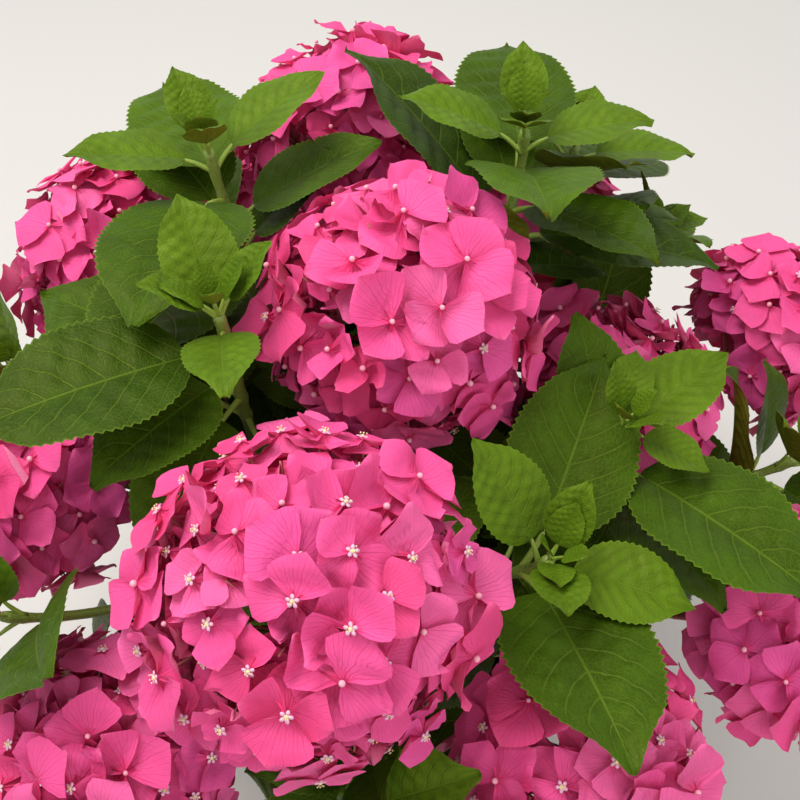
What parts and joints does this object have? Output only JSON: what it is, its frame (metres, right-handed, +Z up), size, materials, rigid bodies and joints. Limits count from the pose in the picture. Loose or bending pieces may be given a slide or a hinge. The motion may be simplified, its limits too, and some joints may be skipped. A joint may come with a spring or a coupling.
{
  "type": "potted mophead hydrangea shrub",
  "caption": "Mophead hydrangea in full flower, a rounded shrub of broad toothed leaves and pink flower heads, in a round glazed clay pot.",
  "frame": {"origin": "middle of the pot's flat underside, on the ground it stands on", "axes": "+Z up, the front of the plant faces -Y, +X to the right of a viewer in front of it"},
  "size_m": [0.6432, 0.6206, 0.5362],
  "materials": {
    "pot": "gloss",
    "soil": "matte",
    "bark": "matte",
    "foliage": "satin",
    "blossom": "matte"
  },
  "bodies": {
    "root": {"cane_back": "bark", "cane_back_right": "bark", "cane_centre": "bark", "cane_front": "bark", "cane_front_left": "bark", "cane_front_right": "bark", "cane_left": "bark", "cane_left_back": "bark", "cane_right": "bark", "flower_head_back": "blossom", "flower_head_front": "blossom", "flower_head_front_left": "blossom", "flower_head_left": "blossom", "flower_head_left_back": "blossom", "flower_head_low_back": "blossom", "flower_head_low_back_left": "blossom", "flower_head_low_back_right": "blossom", "flower_head_low_front": "blossom", "flower_head_low_right": "blossom", "flower_head_right": "blossom", "flower_head_top": "blossom", "foliage_back": "foliage", "foliage_back_right": "foliage", "foliage_centre": "foliage", "foliage_front": "foliage", "foliage_front_left": "foliage", "foliage_front_right": "foliage", "foliage_left": "foliage", "foliage_left_back": "foliage", "foliage_right": "foliage", "pot": "pot", "soil": "soil", "woody_crown": "bark"}
  },
  "joints": []
}
